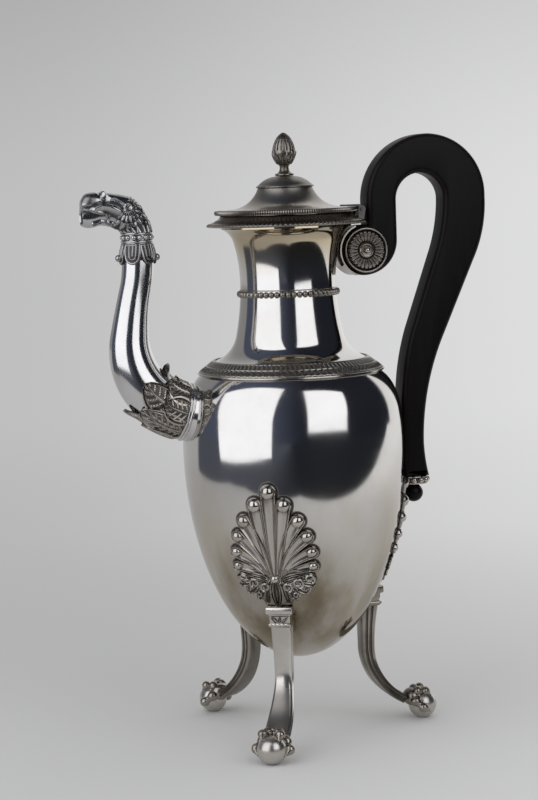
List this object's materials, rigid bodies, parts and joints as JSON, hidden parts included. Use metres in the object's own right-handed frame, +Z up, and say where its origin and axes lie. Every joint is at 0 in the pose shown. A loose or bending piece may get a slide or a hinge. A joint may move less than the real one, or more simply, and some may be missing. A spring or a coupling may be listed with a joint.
{
  "type": "coffee pot",
  "caption": "Silver egg-shaped coffee pot on palmette legs with claw and ball feet, an animal head spout, a hinged lid with a bud finial and a black wooden scroll handle.",
  "frame": {"origin": "on the table, under the axis of the pot's body", "axes": "+X towards the handle, -X towards the spout, +Z up, the three feet on the plane Z = 0"},
  "size_m": [0.2204, 0.1342, 0.32],
  "materials": {
    "silver": "polished, darkened in the recesses",
    "ebonised_wood": "blackened and waxed"
  },
  "bodies": {
    "pot": {"body_shell": "silver", "neck_shell": "silver", "shoulder_band": "silver", "neck_bead_ring": "silver", "mouth_rim": "silver", "spout_tube": "silver", "spout_base_ring": "silver", "spout_calyx": "silver", "spout_collar": "silver", "spout_bead_band": "silver", "spout_head": "silver", "hinge_pot_leaf": "silver", "hinge_pin": "silver", "handle_grip": "ebonised_wood", "handle_socket": "silver", "rosette_front": "silver", "rosette_back": "silver", "rosette_rivet": "silver", "handle_ring": "silver", "handle_bracket": "silver", "handle_pin": "silver", "handle_drop": "ebonised_wood", "palmette_handle": "silver", "palmette_front": "silver", "palmette_back": "silver", "leg_capital_handle": "silver", "leg_capital_front": "silver", "leg_capital_back": "silver", "leg_strut_handle": "silver", "leg_strut_front": "silver", "leg_strut_back": "silver", "foot_claw_handle": "silver", "foot_claw_front": "silver", "foot_claw_back": "silver", "foot_ball_handle": "silver", "foot_ball_front": "silver", "foot_ball_back": "silver"},
    "lid": {"lid_dome": "silver", "lid_edge": "silver", "lid_bezel": "silver", "finial_base": "silver", "finial_bud": "silver", "finial_nut": "silver", "hinge_lid_leaf": "silver"}
  },
  "joints": [
    {"name": "lid_hinge", "type": "hinge", "parent": "pot", "child": "lid", "pos_m": [0.04, 0, 0.2786], "axis": [0, 1, 0], "range_deg": [0, 78]}
  ]
}
